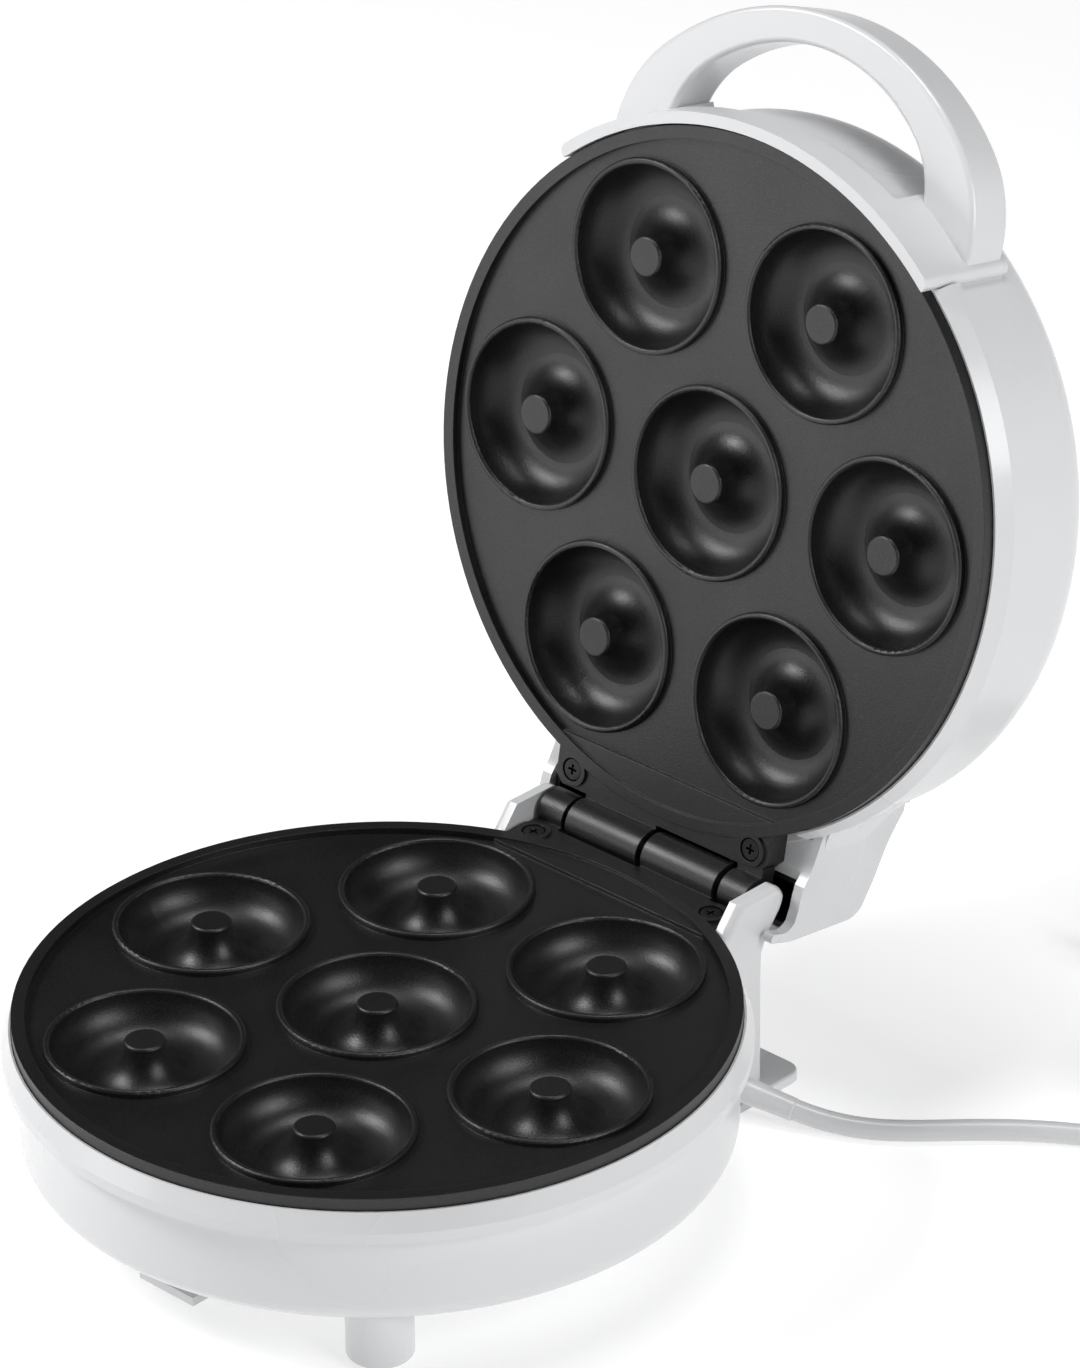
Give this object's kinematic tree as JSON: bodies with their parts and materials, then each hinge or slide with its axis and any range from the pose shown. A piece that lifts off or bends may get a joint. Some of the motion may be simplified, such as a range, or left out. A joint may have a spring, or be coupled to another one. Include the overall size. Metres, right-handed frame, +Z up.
{
  "type": "donut maker",
  "caption": "Electric clamshell donut maker, lid open: round white housings, dark cast plates with ring cavities, looped handle, rear hinge, coiled mains cord with plug.",
  "frame": {"origin": "on the standing surface, under the middle of the bounding box with the lid open and the mains cord left out", "axes": "+X to the right along the hinge seen from the front, +Y to the back where the hinge is, +Z up"},
  "size_m": [0.2832, 0.3439, 0.281],
  "materials": {
    "housing": "glossy moulded white",
    "plate": "black non-stick coating with a fine sandy texture",
    "foot_rubber": "matte",
    "steel": "zinc plated",
    "black_screw": "blackened",
    "reflector": "bright sheet",
    "terminal": "matte",
    "wire_sleeve": "woven glass sleeve",
    "red_lens": "clear tinted",
    "green_lens": "clear tinted",
    "liner": "satin black",
    "cord": "satin flexible plastic",
    "plug": "satin",
    "pin_metal": "nickel plated"
  },
  "bodies": {
    "base": {"lower_plate": "plate", "base_housing": "housing", "rear_stand": "housing", "front_foot_pads": "foot_rubber", "hinge_pin": "steel", "lower_hinge_screws": "black_screw", "base_plate_screws": "steel", "stand_screws": "steel", "lower_heating_element": "steel", "lower_element_clamps": "steel", "lower_clamp_screws": "steel", "lower_heat_shield": "reflector", "lower_shield_screws": "steel", "thermostat": "steel", "terminal_block": "terminal", "thermal_fuse": "steel", "base_wiring": "wire_sleeve", "cord_strain_relief": "cord", "mains_cord": "cord", "cord_coil": "cord", "plug_body": "plug", "plug_pins": "pin_metal"},
    "lid": {"upper_plate": "plate", "lid_housing": "housing", "handle": "housing", "upper_hinge_screws": "black_screw", "upper_heating_element": "steel", "upper_element_clamps": "steel", "upper_clamp_screws": "steel", "upper_heat_shield": "reflector", "upper_shield_screws": "steel", "lid_wiring": "wire_sleeve", "power_lamp_lens": "red_lens", "ready_lamp_lens": "green_lens", "lamp_carrier": "terminal", "hinge_wire_cover": "liner", "handle_screws": "steel"}
  },
  "joints": [
    {"name": "lid_hinge", "type": "hinge", "parent": "base", "child": "lid", "pos_m": [0, 0.0607, 0.056], "axis": [1, 0, 0], "range_deg": [0, 101.24]}
  ]
}
